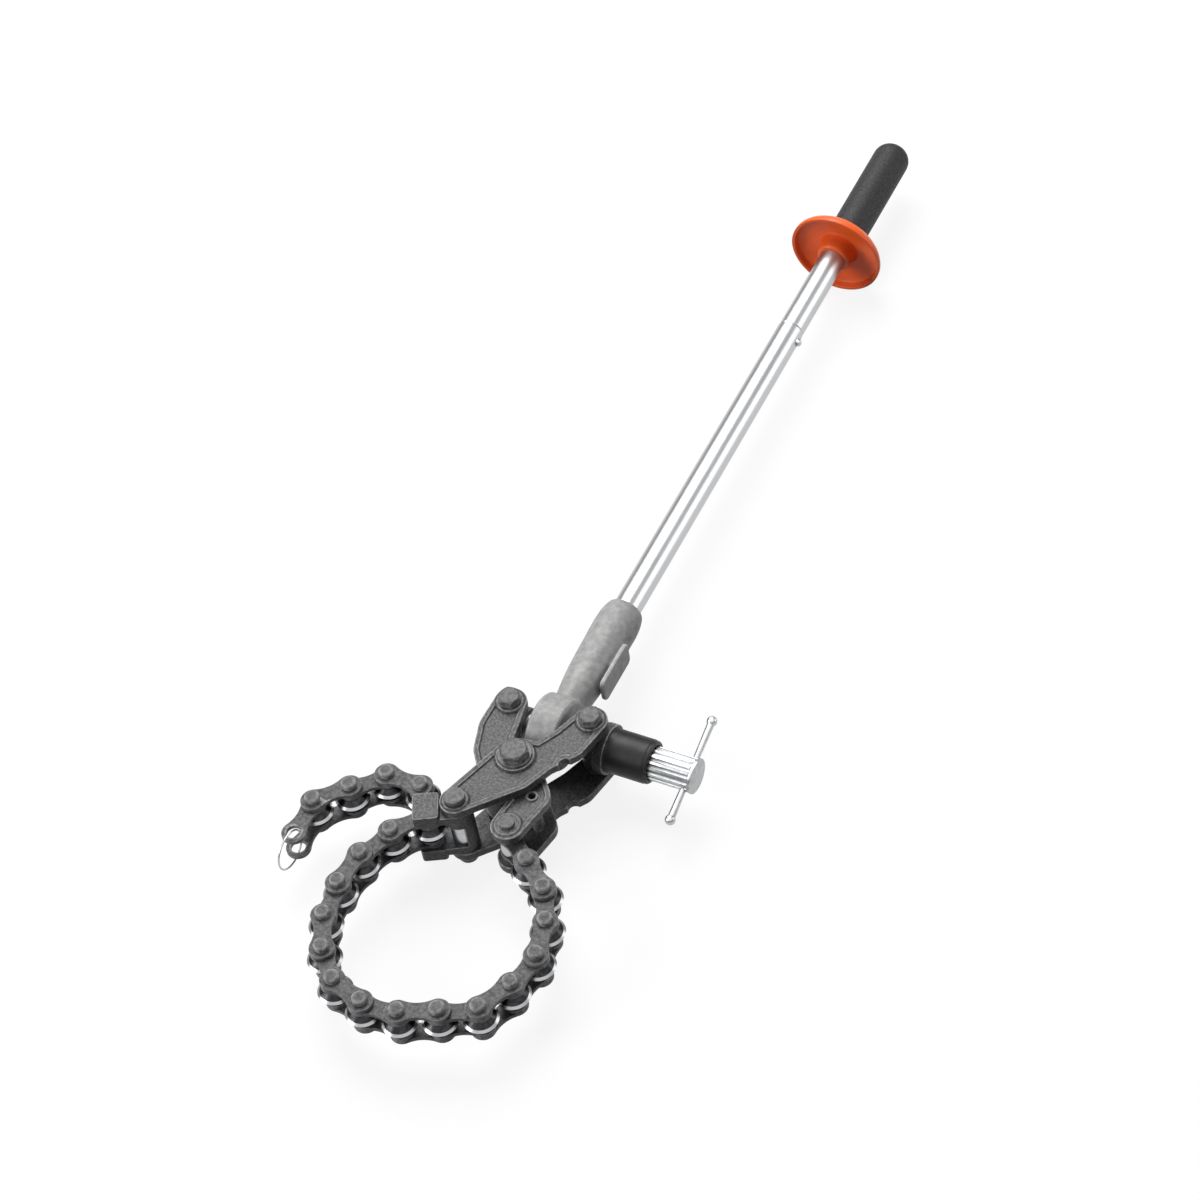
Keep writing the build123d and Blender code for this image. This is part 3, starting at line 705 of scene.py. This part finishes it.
bmesh.ops.spin(
    screw, geom=tooth_verts + tooth_edges, cent=(0, 0, 0), axis=(0, 0, 1),
    dvec=(0, 0, thread_pitch / turn_steps), angle=2 * math.pi * turns, steps=turn_steps * turns,
)
bmesh.ops.remove_doubles(screw, verts=screw.verts, dist=1e-6)
bmesh.ops.translate(screw, vec=(0, 0, screw_low.x - thread_pitch), verts=screw.verts)
for height, keep_above in ((screw_low.x, True), (thread_end, False)):
    cut = bmesh.ops.bisect_plane(
        screw, geom=screw.verts[:] + screw.edges[:] + screw.faces[:], plane_co=(0, 0, height),
        plane_no=(0, 0, 1), clear_inner=keep_above, clear_outer=not keep_above,
    )
    rim = [e for e in cut["geom_cut"] if isinstance(e, bmesh.types.BMEdge)]
    bmesh.ops.holes_fill(screw, edges=rim, sides=0)
shank = bmesh.new()
turned(shank, [
    (0, shank_from), (shank_r, shank_from), (shank_r, collar_from), (collar_r, collar_from),
    (collar_r, collar_from + collar_t), (shank_r, collar_from + collar_t), (shank_r, screw_high.x),
    (0, screw_high.x),
], 48)
rounded(shank, 0.0004, 2, 40.0)
joined(screw, shank)
moved(screw, along_screw)
add_piece("feed_screw_threaded", screw, "screw", screw_steel, "bright_steel", "feed_screw")

# Screw knob: zinc plated steel, fluted for the fingers along its length, with a plain cap. The bar
# runs across through it.
knob_low, knob_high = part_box("screw_knob")
cap_r = (knob_high.z - knob_low.z) / 2
knob_r = cap_r - 0.0006
cap_t = 0.003
cap_from = knob_high.x - cap_t
body_end = cap_from - 0.0004
flutes = 16
flute_r = 0.0019
flute_at = knob_r + 0.0004
knob_zinc = finish_of(
    "knob_zinc", (0.28, 0.29, 0.30, 1), (0.40, 0.41, 0.42, 1), (0.30, 0.42), 1.0, 90.0, 1400.0, 0.00003,
    rubbed=(zinc_high, 0.505, 0.56),
)
knob_body = bmesh.new()
turned(knob_body, [(0, knob_low.x), (knob_r, knob_low.x), (knob_r, body_end), (0, body_end)], round_steps)
rounded(knob_body, 0.0008, 2, 40.0)
bmesh.ops.recalc_face_normals(knob_body, faces=knob_body.faces)
cutters = bmesh.new()
for i in range(flutes):
    a = 2 * math.pi * i / flutes
    flute_mid = (flute_at * math.cos(a), flute_at * math.sin(a), (knob_low.x + knob_high.x) / 2)
    bmesh.ops.create_cone(
        cutters, cap_ends=True, segments=20, radius1=flute_r, radius2=flute_r,
        depth=knob_high.x - knob_low.x, matrix=Matrix.Translation(flute_mid),
    )
knob = boolean_of(knob_body, cutters, "DIFFERENCE")
cap = bmesh.new()
turned(cap, [(0, cap_from), (cap_r, cap_from), (cap_r, knob_high.x), (0, knob_high.x)], round_steps)
rounded(cap, 0.0006, 3, 40.0)
joined(knob, cap)
moved(knob, along_screw)
add_piece("screw_knob_fluted", knob, "screw", knob_zinc, "bright_steel", "screw_knob", crease=25.0)

# Sliding bar: a bright steel rod through the knob with a ball on each end.
bar_joint = next(joint for joint in frame["joints"] if joint["name"] == "bar_slide")
bar_way = Vector(bar_joint["axis"])
bar_low, bar_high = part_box("t_bar")
bar_mid = (bar_low + bar_high) / 2
bar_half = 0.045
bar_r = 0.0025
ball_r = 0.0045
bar = bmesh.new()
ball_angles = [math.pi * i / 12 for i in range(3, 12)]
ball_arc = [(ball_r * math.sin(a), bar_half - ball_r * math.cos(a)) for a in ball_angles]
half = [(bar_r, 0.0)] + ball_arc + [(0, bar_half + ball_r)]
other_half = [(r, -h) for r, h in reversed(half)]
turned(bar, other_half[:-1] + half, 32)
moved(bar, standing(bar_mid, bar_way))
add_piece("sliding_bar", bar, "bar", bright_zinc, "bright_steel", "t_bar")

# Ratchet head: one grey sand casting of drum, neck and handle socket, with a raised pad on the
# knob's side. Its skin is grainy and its corners are soft.
head_voxel = 0.0008
sand_cast = finish_of(
    "sand_cast", (0.22, 0.22, 0.22, 1), (0.33, 0.33, 0.325, 1), (0.56, 0.44), 0.0,
    190.0, 620.0, 0.00030, rubbed=((0.58, 0.58, 0.58, 1), 0.510, 0.55), shine=0.45,
)
head = eased_copy("ratchet_head", head_voxel, 4)
add_piece("ratchet_head_casting", head, "handle", sand_cast, "grey_casting", "ratchet_head", crease=60.0)

# Handle tube: zinc plated drawn steel in two sections, the upper one swaged to slide in the lower
# one, which a spring button passes through.
lower_low, lower_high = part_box("lower_tube")
upper_low, upper_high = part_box("upper_tube")
button_low, button_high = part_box("snap_button")
handle_x = (lower_low.x + lower_high.x) / 2
along_handle = standing((handle_x, 0, middle), (0, 1, 0))
tube_r = (lower_high.x - lower_low.x) / 2
upper_r = (upper_high.x - upper_low.x) / 2
tube_wall = 0.0018
spigot_r = tube_r - tube_wall - 0.00008
button_y = (button_low.y + button_high.y) / 2
button_r = (button_high.y - button_low.y) / 2
swage = 0.004
swage_from = lower_high.y + 0.0004
tube_steps = 96
drawn_low = (0.47, 0.48, 0.49, 1)
drawn_high = (0.54, 0.55, 0.56, 1)
drawn_rough = (0.28, 0.35)
line_scale = (900.0, 9.0, 900.0)
line_depth = 0.000003


def drawn_zinc():
    """Zinc plate over a drawn tube: fine lines along it and a faint drift in its gloss."""
    material = bpy.data.materials.new("drawn_zinc")
    material.use_nodes = True
    nodes, links = material.node_tree.nodes, material.node_tree.links
    shader = nodes["Principled BSDF"]
    shader.inputs["Metallic"].default_value = 1.0
    where = nodes.new("ShaderNodeTexCoord")
    stretch = nodes.new("ShaderNodeMapping")
    stretch.inputs["Scale"].default_value = line_scale
    lines = nodes.new("ShaderNodeTexNoise")
    lines.inputs["Scale"].default_value = 1.0
    lines.inputs["Detail"].default_value = 3.0
    drift = nodes.new("ShaderNodeTexNoise")
    drift.inputs["Scale"].default_value = 35.0
    links.new(where.outputs["Object"], stretch.inputs["Vector"])
    links.new(stretch.outputs[0], lines.inputs["Vector"])
    links.new(where.outputs["Object"], drift.inputs["Vector"])
    tone = nodes.new("ShaderNodeMix")
    tone.data_type = "RGBA"
    tone.inputs["A"].default_value = drawn_low
    tone.inputs["B"].default_value = drawn_high
    links.new(lines.outputs[0], tone.inputs["Factor"])
    links.new(tone.outputs["Result"], shader.inputs["Base Color"])
    gloss = nodes.new("ShaderNodeMapRange")
    gloss.inputs["To Min"].default_value = drawn_rough[0]
    gloss.inputs["To Max"].default_value = drawn_rough[1]
    links.new(drift.outputs[0], gloss.inputs["Value"])
    links.new(gloss.outputs["Result"], shader.inputs["Roughness"])
    bump = nodes.new("ShaderNodeBump")
    bump.inputs["Distance"].default_value = line_depth
    links.new(lines.outputs[0], bump.inputs["Height"])
    links.new(bump.outputs["Normal"], shader.inputs["Normal"])
    return material


tube_zinc = drawn_zinc()


def drilled(form, radius):
    """The tube's bmesh after the button's hole is drilled through its knob side wall."""
    bmesh.ops.recalc_face_normals(form, faces=form.faces)
    drill = bmesh.new()
    bmesh.ops.create_cone(
        drill, cap_ends=True, segments=32, radius1=radius, radius2=radius, depth=tube_r * 2,
        matrix=standing((handle_x + tube_r + 0.002, button_y, middle), (1, 0, 0)),
    )
    return boolean_of(form, drill, "DIFFERENCE")


lower = ring_of(tube_r - tube_wall, tube_r, lower_low.y, lower_high.y, 0.0004, tube_steps)
lower = drilled(moved(lower, along_handle), button_r + 0.0003)
add_piece("lower_tube_drawn", lower, "handle", tube_zinc, "tube_zinc", "lower_tube")

upper = bmesh.new()
turned(upper, [
    (spigot_r - tube_wall, upper_low.y), (spigot_r, upper_low.y), (spigot_r, swage_from),
    (upper_r - 0.0002, swage_from + swage * 0.3), (upper_r, lower_high.y + swage), (upper_r, upper_high.y),
    (spigot_r - tube_wall, upper_high.y), (spigot_r - tube_wall, upper_low.y),
], tube_steps)
upper = drilled(moved(upper, along_handle), button_r + 0.00005)
add_piece("upper_tube_drawn", upper, "handle", tube_zinc, "tube_zinc", "upper_tube")

button = bmesh.new()
turned(button, [
    (0, button_low.x), (button_r, button_low.x), (button_r, button_high.x - 0.0022),
    (button_r * 0.86, button_high.x - 0.0009), (button_r * 0.5, button_high.x - 0.0001), (0, button_high.x),
], 32)
moved(button, standing((0, button_y, middle), (1, 0, 0)))
add_piece("spring_button", button, "button", bright_zinc, "bright_steel", "snap_button")

# Hand guard: an orange moulded plastic dish on the tube, its rim turned towards the head, with a
# conical hub.
guard_low, guard_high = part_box("hand_guard")
guard_r = (guard_high.x - guard_low.x) / 2
guard_back = guard_high.y
guard_lip = 0.010
hub_h = 0.016
hub_r = 0.0155
guard_t = 0.003
guard_y = guard_back - guard_t
orange_deep = (0.78, 0.105, 0.014, 1)
orange_pale = (0.86, 0.130, 0.020, 1)
moulded_orange = finish_of(
    "moulded_orange", orange_deep, orange_pale, (0.42, 0.34), 0.0, 45.0, 1200.0, 0.00004, shine=0.3,
)
orange_shader = moulded_orange.node_tree.nodes["Principled BSDF"]
orange_shader.inputs["Subsurface Weight"].default_value = 0.35
orange_shader.inputs["Subsurface Radius"].default_value = (0.010, 0.0025, 0.0008)
guard = bmesh.new()
turned(guard, [
    (upper_r, guard_back), (upper_r, guard_y - hub_h), (hub_r - 0.0015, guard_y - hub_h),
    (hub_r, guard_y - hub_h + 0.0015), (hub_r + 0.0008, guard_y - 0.006), (hub_r + 0.003, guard_y - 0.0015),
    (hub_r + 0.006, guard_y - 0.0008), (guard_r - 0.010, guard_y - 0.0018),
    (guard_r - 0.0045, guard_y - 0.0045), (guard_r - 0.0028, guard_y - guard_lip),
    (guard_r, guard_y - guard_lip), (guard_r, guard_y - guard_lip + 0.004),
    (guard_r - 0.0022, guard_y - 0.002), (guard_r - 0.006, guard_back - 0.001),
    (guard_r - 0.010, guard_back), (upper_r, guard_back),
], 96)
rounded(guard, 0.0006, 3, 24.0)
moved(guard, along_handle)
add_piece(
    "hand_guard_moulding", guard, "handle", moulded_orange, "orange_plastic", "hand_guard", crease=50.0
)

# Grip: a black moulded sleeve pressed on the tube's end up to the guard, round at its end, with a
# leathery skin.
grip_low, grip_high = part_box("grip")
grip_r = (grip_high.x - grip_low.x) / 2
grip_black = finish_of(
    "grip_black", (0.008, 0.008, 0.009, 1), (0.024, 0.024, 0.026, 1), (0.66, 0.50), 0.0,
    420.0, 800.0, 0.00014, shine=0.32,
)
grip = bmesh.new()
dome = 0.0150
grip_profile = [(0, grip_low.y), (grip_r, grip_low.y), (grip_r, grip_high.y - dome)]
for i in range(1, 10):
    a = math.pi / 2 * i / 10
    grip_profile.append((grip_r * math.cos(a) ** 0.85, grip_high.y - dome + dome * math.sin(a)))
grip_profile.append((0, grip_high.y))
turned(grip, grip_profile, round_steps)
moved(grip, along_handle)
add_piece("grip_sleeve", grip, "handle", grip_black, "grip_black", "grip", crease=50.0)

# Chain: figure-of-eight plates stamped from steel strip, in pairs, inner ones turning on the pins
# and outer ones riveted to them. Blackened, with rubbed edges.
link_pitch = (place["chain_pin_01"] - place["chain_pin_00"]).length
plate_t = 0.0037
plate_r = 0.0104
plate_waist = 0.0070
plate_ease = 0.00045
inner_z = 0.0083
outer_z = 0.0123
stub = 0.0055
chain_black = finish_of(
    "chain_black", (0.024, 0.024, 0.025, 1), (0.100, 0.100, 0.103, 1), (0.50, 0.36), 0.0,
    380.0, 700.0, 0.00014, rubbed=(worn_steel, 0.52, 0.58), shine=0.22,
)
links = 21
open_pin = 8


def pin_place(i):
    """Middle of a chain pin. The pin at which the loop is opened has no joint: it lies across its link."""
    if i == links:
        return place["ring_swing"]
    if i == open_pin:
        low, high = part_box(f"chain_link_{i - 1:02d}")
        return low + high - pin_place(i - 1)
    return place[f"chain_pin_{i:02d}"]


def link_plate(height):
    """One plate about the link's middle, from a height up, lying along X."""
    form = bmesh.new()
    half = link_pitch / 2
    bow = (half ** 2 + plate_waist ** 2 - plate_r ** 2) / (2 * (plate_r - plate_waist))
    lean = math.atan2(plate_waist + bow, half)
    tip = form.verts.new((-half - plate_r, 0, 0))
    lobe = bmesh.ops.spin(
        form, geom=[tip], cent=(-half, 0, 0), axis=(0, 0, -1), angle=math.pi - lean, steps=14
    )
    end = [v for v in lobe["geom_last"] if isinstance(v, bmesh.types.BMVert)]
    bmesh.ops.spin(
        form, geom=end, cent=(0, plate_waist + bow, 0), axis=(0, 0, 1), angle=math.pi / 2 - lean, steps=5
    )
    for axis in "XY":
        bmesh.ops.mirror(form, geom=form.verts[:] + form.edges[:], axis=axis, merge_dist=1e-6)
    bmesh.ops.remove_doubles(form, verts=form.verts, dist=1e-6)
    face = bmesh.ops.edgeloop_fill(form, edges=form.edges[:])["faces"]
    raised = bmesh.ops.extrude_face_region(form, geom=face)["geom"]
    top = [v for v in raised if isinstance(v, bmesh.types.BMVert)]
    bmesh.ops.translate(form, vec=(0, 0, plate_t), verts=top)
    rounded(form, plate_ease, 2, 60.0)
    level_margins(form, rim_margin)
    bmesh.ops.translate(form, vec=(0, 0, height), verts=form.verts)
    return form


def link_matrix(i):
    """Matrix from a link's middle, along X, to its place between two pins."""
    a, b = pin_place(i), pin_place(i + 1)
    turn = math.atan2(b.y - a.y, b.x - a.x)
    return Matrix.Translation((a + b) / 2) @ Matrix.Rotation(turn, 4, "Z")


def riveted_pin():
    """A pin about Z whose ends are riveted over to a low dome."""
    reach = outer_z + plate_t + stub
    form = bmesh.new()
    ends = [
        (0, reach), (pin_r * 0.55, reach - 0.0001), (pin_r * 0.86, reach - 0.0006), (pin_r, reach - 0.0015),
    ]
    turned(form, ends + [(r, -h) for r, h in reversed(ends)], 24)
    return form


for i in range(links):
    outer = i % 2 == 1
    base = outer_z if outer else inner_z
    link = link_plate(base)
    joined(link, link_plate(-base - plate_t))
    if outer:
        for side in (-1, 1):
            joined(link, moved(riveted_pin(), Matrix.Translation((side * link_pitch / 2, 0, 0))))
    moved(link, link_matrix(i))
    if i == links - 1:
        last_link = link
    else:
        add_piece(f"link_{i:02d}", link, f"link_{i:02d}", chain_black, "chain_black", f"chain_link_{i:02d}")

# The last link's free end is an open hole through both plates, where the pull ring hangs.
bmesh.ops.recalc_face_normals(last_link, faces=last_link.faces)
hole = bmesh.new()
bmesh.ops.create_cone(
    hole, cap_ends=True, segments=40, radius1=pin_r, radius2=pin_r, depth=0.06,
    matrix=Matrix.Translation(place["ring_swing"]),
)
open_link = boolean_of(last_link, hole, "DIFFERENCE")
last_name = f"link_{links - 1:02d}"
add_piece(last_name, open_link, last_name, chain_black, "chain_black", f"chain_{last_name}")

# Cutting wheels: ground tool steel, a hub with two bevels that meet at the cutting edge, one on
# each pin of an outer link.
wheel_r = 0.0146
wheel_hub_r = 0.0086
wheel_hub_half = 0.0080
wheel_ease = 0.0004
bevel_foot = 0.0052
bevel_half = 0.0017
wheel_steel = finish_of(
    "wheel_steel", (0.018, 0.018, 0.020, 1), (0.050, 0.050, 0.052, 1), (0.34, 0.26), 1.0,
    300.0, 1600.0, 0.00002,
)


def ground_bevels(material, bright):
    """Brightens the ground band at the cutting edges, which all lie in one plane."""
    nodes, links = material.node_tree.nodes, material.node_tree.links
    shader = nodes["Principled BSDF"]
    tempered = shader.inputs["Base Color"].links[0].from_socket
    where = nodes.new("ShaderNodeTexCoord")
    split = nodes.new("ShaderNodeSeparateXYZ")
    above = nodes.new("ShaderNodeMath")
    above.operation = "SUBTRACT"
    above.inputs[1].default_value = middle
    away = nodes.new("ShaderNodeMath")
    away.operation = "ABSOLUTE"
    ground = nodes.new("ShaderNodeMapRange")
    ground.inputs["From Min"].default_value = bevel_half + 0.0002
    ground.inputs["From Max"].default_value = bevel_half
    tone = nodes.new("ShaderNodeMix")
    tone.data_type = "RGBA"
    tone.inputs["B"].default_value = bright
    links.new(where.outputs["Object"], split.inputs[0])
    links.new(split.outputs["Z"], above.inputs[0])
    links.new(above.outputs[0], away.inputs[0])
    links.new(away.outputs[0], ground.inputs["Value"])
    links.new(ground.outputs["Result"], tone.inputs["Factor"])
    links.new(tempered, tone.inputs["A"])
    links.new(tone.outputs["Result"], shader.inputs["Base Color"])


ground_bevels(wheel_steel, (0.40, 0.41, 0.42, 1))
for i in range(1, links, 2):
    pair = bmesh.new()
    for pin in (i, i + 1):
        wheel = bmesh.new()
        turned(wheel, [
            (pin_r, -wheel_hub_half), (wheel_hub_r - wheel_ease, -wheel_hub_half),
            (wheel_hub_r, -wheel_hub_half + wheel_ease), (wheel_hub_r + wheel_ease, -bevel_foot),
            (wheel_r, 0), (wheel_hub_r + wheel_ease, bevel_foot),
            (wheel_hub_r, wheel_hub_half - wheel_ease), (wheel_hub_r - wheel_ease, wheel_hub_half),
            (pin_r, wheel_hub_half), (pin_r, -wheel_hub_half),
        ], 48)
        joined(pair, moved(wheel, Matrix.Translation(pin_place(pin))))
    node = f"cutting_wheels_{i // 2:02d}"
    add_piece(f"wheels_{i:02d}", pair, f"link_{i:02d}", wheel_steel, "wheel_steel", node, crease=20.0)

# Pull ring: a ring of zinc plated spring wire through the last link's hole, made here as one closed
# turn.
ring_low, ring_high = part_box("pull_ring")
wire_r = 0.0008
ring_r = (ring_high.z - ring_low.z) / 2 - wire_r
ring_mid = (ring_low + ring_high) / 2
ring_way = (ring_mid - place["ring_swing"]).cross(Vector((0, 0, 1))).normalized()
ring = bmesh.new()
bmesh.ops.create_circle(
    ring, segments=12, radius=wire_r,
    matrix=Matrix.Translation((ring_r, 0, 0)) @ Matrix.Rotation(math.pi / 2, 4, "X"),
)
bmesh.ops.spin(
    ring, geom=ring.verts[:] + ring.edges[:], cent=(0, 0, 0), axis=(0, 0, 1),
    angle=2 * math.pi, steps=72, use_merge=True,
)
moved(ring, standing(ring_mid, ring_way))
add_piece("pull_ring_wire", ring, "ring", bright_zinc, "bright_steel", "pull_ring", crease=60.0)
